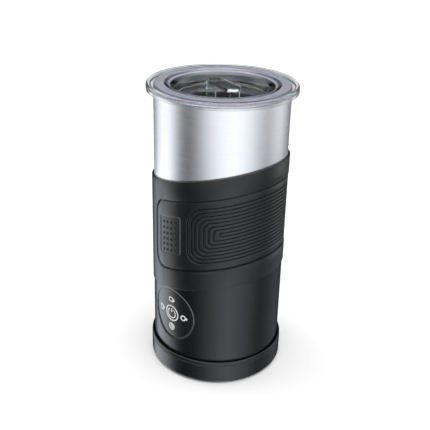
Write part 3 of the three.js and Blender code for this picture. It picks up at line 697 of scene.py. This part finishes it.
# Turned pieces: (radius, height, rounding) outlines, with the pieces that they stand for.
turnedPieces = {
    "powerBase": {
        "body": "base", "material": satinAbs, "replaced": ["base_shell"],
        # a fine groove runs round under the rim
        "outline": [(46.0, 0.8, 0.2), (48.2, 0.8, 1.9), (48.2, 14.3, 0.2), (47.7, 14.6, 0.1),
                    (47.7, 15.0, 0.1), (48.2, 15.3, 0.2), (48.0, 17.4, 0.8), (46.9, 17.4, 0.2),
                    (46.9, 12.4, 0.8), (15.8, 12.4, 0.3), (15.8, 10.4, 0), (46.0, 10.4, 0)]},
    "steelShell": {
        "body": "jug", "material": brushedSteel, "replaced": ["steel_shell"],
        "outline": [(44.7, 84.3, 0), (45.3, 84.3, 0), (45.3, 201.5, 0.25), (44.7, 201.5, 0.25)]},
    "milkPot": {
        "body": "jug", "material": nonStick, "replaced": ["milk_pot"],
        "outline": [(0, 80.0, 0), (39.4, 80.0, 9.0), (41.3, 201.3, 0.1), (40.6, 201.3, 0.1),
                    (38.5, 81.0, 8.0), (0, 81.0, 0)]},
    "potRim": {
        "body": "jug", "material": brushedSteel, "replaced": [],
        "outline": [(41.4, 200.6, 0.1), (45.3, 201.8, 0.3), (45.3, 202.6, 0.35), (40.6, 202.6, 0.5),
                    (40.6, 201.4, 0), (41.4, 201.4, 0)]},
    "pivotPin": {
        "body": "jug", "material": zincPlate, "replaced": ["pivot_pin"],
        "outline": [(0, 81.1, 0), (1.5, 81.1, 0), (1.5, 91.4, 0.7), (0, 91.4, 0)]},
    "lidShell": {
        "body": "lid", "material": clearPlastic, "replaced": ["lid_shell"],
        "outline": [(0, 195.3, 0), (32.0, 195.3, 1.4), (33.8, 202.4, 1.0), (34.8, 203.6, 0.3),
                    (36.6, 203.6, 0.3), (36.6, 196.4, 0.3), (38.4, 196.4, 0.3), (38.4, 203.6, 0.4),
                    (42.6, 203.6, 0.1), (42.8, 203.2, 0.1), (47.4, 203.2, 0.5), (47.4, 201.1, 0.3),
                    (50.1, 201.1, 0.8), (50.1, 205.8, 1.5), (36.6, 205.8, 1.2), (32.2, 202.6, 1.4),
                    (30.0, 197.3, 0.9), (0, 197.3, 0)]},
    "lidSeal": {
        "body": "lid", "material": milkySilicone, "replaced": ["lid_seal"],
        # two lips press on the pot's wall, and a flat collar lies on the rim; it is moulded onto the lid, so
        # it reaches 0.05 into the clear plastic, as two touching faces would leave a film of air between
        "outline": [(38.35, 196.6, 0.2), (39.4, 196.6, 0.3), (40.2, 197.6, 0.4), (39.4, 198.4, 0.3),
                    (39.4, 199.2, 0.3), (40.2, 200.2, 0.4), (39.4, 201.2, 0.3), (39.4, 202.75, 0.2),
                    (44.4, 202.75, 0.2), (44.4, 203.65, 0.1), (38.35, 203.65, 0.1)]},
    # the seal's inner bead, which fills the top of the groove round the lid's well
    "sealBead": {
        "body": "lid", "material": milkySilicone, "replaced": [],
        "outline": [(35.2, 201.0, 0.3), (36.65, 201.0, 0.3), (36.65, 203.65, 0.1), (34.75, 203.65, 0.1)]},
    "whiskHub": {
        "body": "whisk", "material": satinAbs, "replaced": ["whisk_hub"],
        "outline": [(3.1, 82.5, 0.2), (13.6, 82.5, 0.5), (13.6, 85.9, 0.9), (5.2, 85.9, 1.2),
                    (4.6, 94.0, 1.0), (0, 94.0, 0), (0, 92.4, 0), (3.1, 92.4, 0)]},
    "connectorPost": {
        "body": "base", "material": polishedPolycarbonate, "replaced": ["connector_post"],
        "outline": [(2.6, 5.0, 0), (19.0, 5.0, 0), (19.0, 10.1, 0), (15.5, 10.1, 0), (15.5, 19.4, 0.9),
                    (12.4, 19.4, 0.3), (12.4, 9.0, 0), (9.4, 9.0, 0), (9.4, 19.4, 0.3), (2.6, 19.4, 0.7)]},
    "baseContactRing": {
        "body": "base", "material": contactBrass, "replaced": ["base_contact_ring"],
        "outline": [(11.4, 9.3, 0), (12.1, 9.3, 0), (12.1, 18.4, 0.2), (11.4, 18.4, 0.2)]},
    "baseContactSleeve": {
        "body": "base", "material": contactBrass, "replaced": ["base_contact_sleeve"],
        "outline": [(1.9, 5.6, 0), (2.4, 5.6, 0), (2.4, 18.0, 0.15), (1.9, 18.0, 0.15)]},
    "connectorSocket": {
        "body": "socket", "material": polishedPolycarbonate, "replaced": ["connector_socket"],
        "outline": [(0, 20.8, 0), (16.3, 20.8, 0.5), (16.3, 12.8, 0.4), (19.2, 12.8, 0.4), (19.2, 15.9, 0),
                    (23.0, 15.9, 0), (23.0, 17.9, 0), (19.2, 17.9, 0), (19.2, 23.8, 0.5), (0, 23.8, 0)]},
    "socketPin": {
        "body": "socket", "material": contactBrass, "replaced": ["socket_pin"],
        "outline": [(0, 10.5, 0), (1.3, 10.5, 0.6), (1.3, 20.5, 0), (0, 20.5, 0)]},
    "socketContact": {
        "body": "socket", "material": contactBrass, "replaced": ["socket_contact"],
        "outline": [(10.0, 11.0, 0.2), (10.8, 11.0, 0.2), (10.8, 20.5, 0), (10.0, 20.5, 0)]},
}
for name, spec in turnedPieces.items():
    finishPiece(turnedShape(spec["outline"]), name, spec["body"], spec["material"], spec["replaced"],
                flatFaces=True)

# Cord gland: turned like the others, and then laid along the base's rear side.
glandLook = {
    "height": 5.9,
    "outline": [(2.5, 43.0, 0.1), (3.4, 43.0, 0.2), (3.4, 48.5, 0), (4.4, 48.5, 0.2), (4.4, 49.7, 0.5),
                (2.5, 49.7, 0.3)],
}
gland = turnedShape(glandLook["outline"], 48)
bmesh.ops.rotate(gland, cent=(0, 0, 0), matrix=Matrix.Rotation(math.radians(-90), 3, "X"), verts=gland.verts)
bmesh.ops.translate(gland, vec=(0, 0, glandLook["height"]), verts=gland.verts)
finishPiece(gland, "cordGland", "base", footRubber, ["cord_gland"])

# Feet: low rubber buttons in the base's underside.
footLook = {"count": 4, "ring": 34.0, "outline": [(0, 0.2, 0), (3.2, 0.2, 0.2), (3.6, 0, 0.2), (5.0, 0, 0.6),
                                                  (5.0, 1.7, 0), (0, 1.7, 0)]}
for i in range(footLook["count"]):
    turn = math.tau * (i + 0.5) / footLook["count"]
    foot = turnedShape(footLook["outline"], 48)
    bmesh.ops.translate(foot, vec=(footLook["ring"] * math.cos(turn), footLook["ring"] * math.sin(turn), 0),
                        verts=foot.verts)
    finishPiece(foot, f"rubberFoot{i + 1}", "base", footRubber, [f"rubber_foot_{i + 1}"])
print("turned pieces made")

# Closing plates: flat discs with round holes, each (radius, ring, first angle, count).
platesLook = {
    "baseBottomPlate": {
        "body": "base", "replaced": ["base_bottom_plate"], "low": 0.8, "high": 3.4, "radius": 45.7,
        "holes": [(5.3, 34.0, 45, 4), (2.9, 37.0, 30, 3)]},
    "jugBottomCap": {
        "body": "jug", "replaced": ["bottom_cap"], "low": 12.8, "high": 15.6, "radius": 42.9,
        "holes": [(19.6, 0, 0, 1), (2.9, 38.6, 90, 3)]},
}


def plateShape(look):
    bm = bmesh.new()
    low, high = look["low"], look["high"]
    loops = [circleSteps(bm, look["radius"], [(-0.3, low), (0, low + 0.3), (0, high)], 144)]
    for radius, ring, first, count in look["holes"]:
        for i in range(count):
            turn = math.radians(first + 360 * i / count)
            centre = (ring * math.cos(turn), ring * math.sin(turn))
            edge = [(0.2, low), (0, low + 0.2), (0, high)]
            loops.append(steppedLoops(bm, centre, (radius, radius), radius, edge, 48 if radius > 4 else 32))
    fillBetween(bm, [bottom for bottom, _ in loops])
    fillBetween(bm, [top for _, top in loops])
    bmesh.ops.recalc_face_normals(bm, faces=bm.faces)
    return bm


for name, look in platesLook.items():
    finishPiece(plateShape(look), name, look["body"], satinAbs, look["replaced"])
print("closing plates made")

# Pieces whose CAD shape is kept get their finishes.
cadFinishes = {
    zincPlate: ["base_screw_1", "base_screw_2", "base_screw_3", "cap_screw_1", "cap_screw_2", "cap_screw_3",
                "button_switch", "motor_can", "motor_shaft", "thermal_cut_out", "temperature_probe"],
    solderMask: ["control_board"],
    naturalNylon: ["motor_bracket", "magnet_carrier", "whisk_bush"],
    footRubber: ["pot_seat"],
    castAluminium: ["heater_plate", "heating_tube"],
    platedNickel: ["drive_magnet_1", "drive_magnet_2", "whisk_magnet_1", "whisk_magnet_2"],
}
for material, nodes in cadFinishes.items():
    for node in nodes:
        for slot in frame["nodes"][node].material_slots:
            slot.material = material
print("kept pieces finished")

# World, light and floor: a ring of soft boxes round the jug with dark gaps between, and light from above.
studioLook = {
    "floorSize": 12.0, "floorColour": "#f4f4f4", "backdropColour": "#ffffff",
    # turn round the jug in degrees from -Y, and brightness there: level with the steel, and below it
    "highBands": [(-180, 0.25), (-166, 0.06), (-99, 0.03), (-85, 0.95), (-76, 1.4), (-48, 1.5),
                  (-28, 0.1), (-6, 0.02), (12, 0.65), (24, 1.1), (62, 1.35), (90, 1.15), (124, 0.28),
                  (150, 1.15), (162, 0.95), (176, 0.35)],
    "lowBands": [(-180, 0.22), (-166, 0.08), (-105, 0.05), (-90, 1.8), (-68, 2.1), (-54, 1.9), (-32, 0.1),
                 (-8, 0.02), (14, 0.28), (62, 1.7), (76, 1.45), (124, 0.18), (160, 0.28), (176, 0.26)],
    "lowColour": "#f1f7ff",  # the lower boxes are a little cooler
    "lowStarts": (-0.42, -0.34), "overheadStarts": (0.72, 0.9),  # sines of the height above the horizon
    "overhead": 2.7,
}


# A ring of soft boxes: a colour ramp over the turn, whose levels are parts of the brightest.
def bandRing(tree, turn, bands, colour, brightest):
    ring = addNode(tree, "ShaderNodeValToRGB", {"Fac": turn})
    ramp = ring.color_ramp
    while len(ramp.elements) < len(bands):
        ramp.elements.new(0.5)
    for i, (angle, level) in enumerate(bands):
        ramp.elements[i].position = (angle + 180) / 360
        ramp.elements[i].color = [part * level / brightest for part in linearColour(colour)[:3]] + [1]
    return ring.outputs["Color"]


def addStudio(look):
    floorShape = bmesh.new()
    bmesh.ops.create_grid(floorShape, x_segments=1, y_segments=1, size=look["floorSize"] / 2)
    floorMesh = bpy.data.meshes.new("studioFloor")
    floorShape.to_mesh(floorMesh)
    floorShape.free()
    floor = bpy.data.objects.new("studioFloor", floorMesh)
    bpy.context.scene.collection.objects.link(floor)
    paint = startMaterial("paleFloorPaint", {
        "Base Color": linearColour(look["floorColour"]), "Roughness": 0.8})[0]
    floorMesh.materials.append(paint)
    floor.visible_glossy = False  # the bright floor would wash out the reflections in the steel
    world = bpy.data.worlds.new("studioWorld")
    bpy.context.scene.world = world
    world.use_nodes = True
    tree = world.node_tree
    direction = addNode(tree, "ShaderNodeTexCoord").outputs["Generated"]
    parts = addNode(tree, "ShaderNodeSeparateXYZ", {"Vector": direction})
    backward = addNode(tree, "ShaderNodeMath", {0: parts.outputs["Y"], 1: -1.0}, operation="MULTIPLY")
    angle = addNode(tree, "ShaderNodeMath", {0: parts.outputs["X"], 1: backward.outputs[0]},
                    operation="ARCTAN2")
    turn = addNode(tree, "ShaderNodeMapRange", {
        "Value": angle.outputs[0], "From Min": -math.pi, "From Max": math.pi}).outputs["Result"]
    brightest = max([level for _, level in look["highBands"] + look["lowBands"]] + [look["overhead"]])
    light = bandRing(tree, turn, look["lowBands"], look["lowColour"], brightest)
    high = bandRing(tree, turn, look["highBands"], "#ffffff", brightest)
    for (start, end), layer in ((look["lowStarts"], high),
                                (look["overheadStarts"], (look["overhead"] / brightest,) * 3 + (1,))):
        height = addNode(tree, "ShaderNodeMapRange", {
            "Value": parts.outputs["Z"], "From Min": start, "From Max": end}, interpolation_type="SMOOTHSTEP")
        light = addNode(tree, "ShaderNodeMix", {0: height.outputs["Result"], 6: light, 7: layer},
                        data_type="RGBA").outputs[2]
    # seen straight from the camera, the backdrop is as pale as the lit floor
    backdrop = [part / brightest for part in linearColour(look["backdropColour"])[:3]] + [1]
    seen = addNode(tree, "ShaderNodeLightPath").outputs["Is Camera Ray"]
    light = addNode(tree, "ShaderNodeMix", {0: seen, 6: light, 7: backdrop}, data_type="RGBA").outputs[2]
    background = tree.nodes["Background"]
    tree.links.new(light, background.inputs["Color"])
    background.inputs["Strength"].default_value = brightest


addStudio(studioLook)
bpy.context.scene.view_settings.view_transform = "Standard"
print("studio lit")
